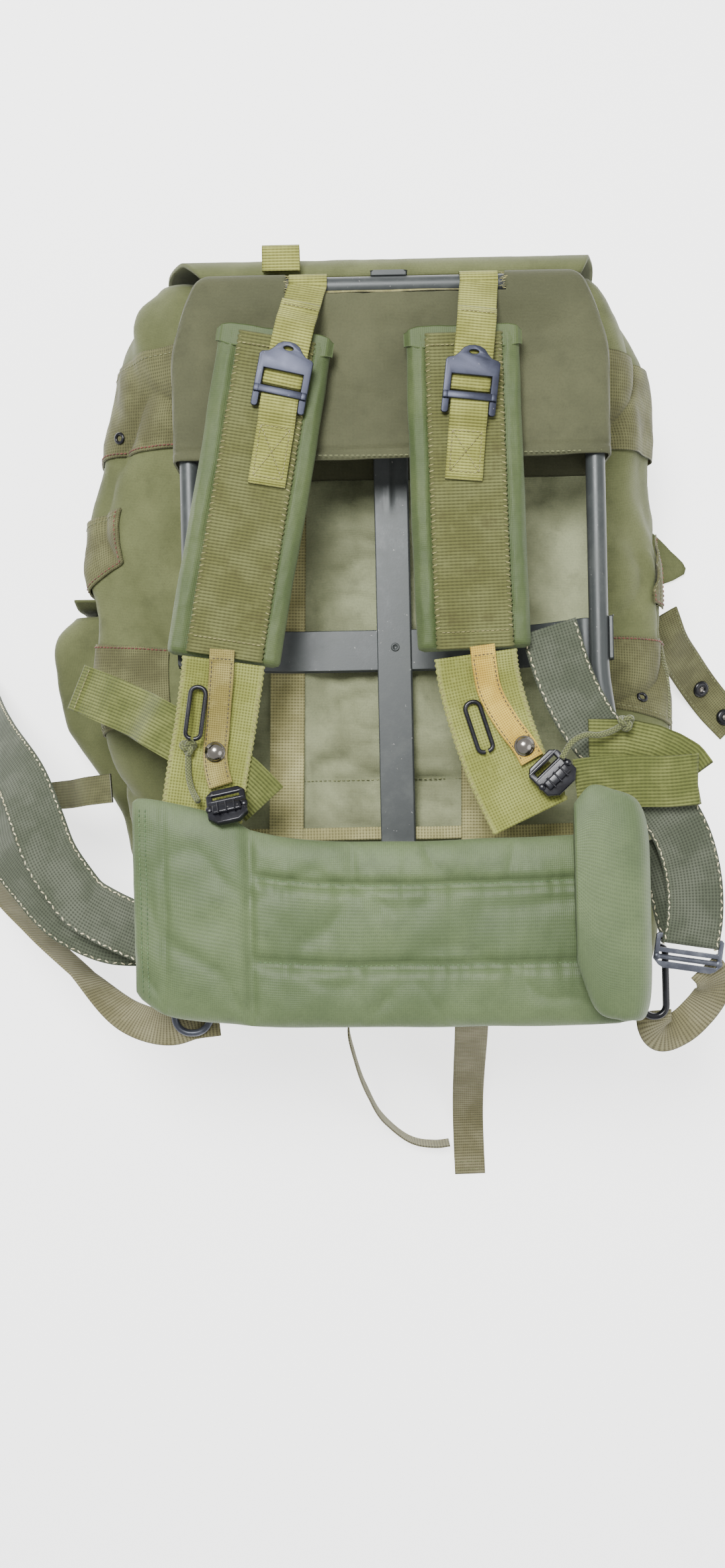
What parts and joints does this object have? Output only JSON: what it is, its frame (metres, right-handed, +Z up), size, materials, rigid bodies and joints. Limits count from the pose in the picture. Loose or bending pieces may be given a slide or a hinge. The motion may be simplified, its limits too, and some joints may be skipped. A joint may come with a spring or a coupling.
{
  "type": "external frame backpack",
  "caption": "Olive rucksack on a bent tube frame with padded shoulder straps, hip pad and grey waist belt, lying on its pockets",
  "frame": {"origin": "on the floor side of the middle pocket's flap, under the crossing of the frame's two flat bars", "axes": "+X to the right as the harness side is seen, +Y towards the pack's top, +Z up from the floor, which is out of the wearer's back side"},
  "size_m": [0.6881, 0.7023, 0.2576],
  "materials": {
    "paint": "satin blue-grey paint",
    "cloth": "olive nylon duck, worn",
    "sleeve_cloth": "faded olive-brown nylon duck",
    "band_webbing": "brown-olive woven webbing",
    "back_webbing": "khaki ribbed webbing",
    "khaki_webbing": "khaki-olive ribbed webbing",
    "ribbed_webbing": "olive webbing with raised ribs",
    "tan_webbing": "tan webbing, worn",
    "belt_webbing": "grey-green webbing with pale stitched edges",
    "pad_nylon": "green coated nylon over foam",
    "cord": "braided olive cord",
    "buckle_steel": "dark phosphated steel",
    "wire_steel": "dark painted steel wire",
    "black_metal": "black enamelled metal",
    "snap_metal": "dark nickel plate"
  },
  "bodies": {
    "root": {"frame_tube": "paint", "upright_bar": "paint", "cross_bar": "paint", "bag_body": "cloth", "frame_sleeve": "sleeve_cloth", "lid": "cloth", "side_band_upper_right": "band_webbing", "side_band_upper_left": "band_webbing", "side_band_lower_right": "band_webbing", "side_band_lower_left": "band_webbing", "side_patch_right": "band_webbing", "side_patch_left": "band_webbing", "pocket_left": "cloth", "pocket_center": "cloth", "pocket_right": "cloth", "pocket_flap_left": "cloth", "pocket_flap_center": "cloth", "pocket_flap_right": "cloth", "back_webbing_left": "back_webbing", "back_webbing_right": "back_webbing", "carry_loop": "khaki_webbing", "bottom_strap": "band_webbing", "bottom_loop_strap": "band_webbing", "snap_strap": "band_webbing", "snap_socket_upper": "snap_metal", "snap_socket_lower": "snap_metal", "side_strap_left": "band_webbing", "kidney_pad": "pad_nylon", "corner_loop_left": "wire_steel", "corner_loop_right": "wire_steel", "shoulder_pad_left": "pad_nylon", "pad_webbing_left": "khaki_webbing", "lower_webbing_left": "khaki_webbing", "top_strap_left": "khaki_webbing", "strap_buckle_left": "buckle_steel", "anchor_tab_left": "khaki_webbing", "release_tab_left": "tan_webbing", "tab_snap_left": "snap_metal", "release_buckle_left": "black_metal", "side_hook_left": "black_metal", "lower_strap_left": "ribbed_webbing", "pull_cord_left": "cord", "waist_belt_left": "belt_webbing", "belt_buckle_left": "buckle_steel", "belt_anchor_strap_left": "ribbed_webbing", "shoulder_pad_right": "pad_nylon", "pad_webbing_right": "khaki_webbing", "lower_webbing_right": "khaki_webbing", "top_strap_right": "khaki_webbing", "strap_buckle_right": "buckle_steel", "anchor_tab_right": "khaki_webbing", "release_tab_right": "tan_webbing", "tab_snap_right": "snap_metal", "release_buckle_right": "black_metal", "side_hook_right": "black_metal", "lower_strap_right": "ribbed_webbing", "pull_cord_right": "cord", "waist_belt_right": "belt_webbing", "belt_buckle_right": "buckle_steel", "belt_anchor_strap_right": "ribbed_webbing"}
  },
  "joints": []
}
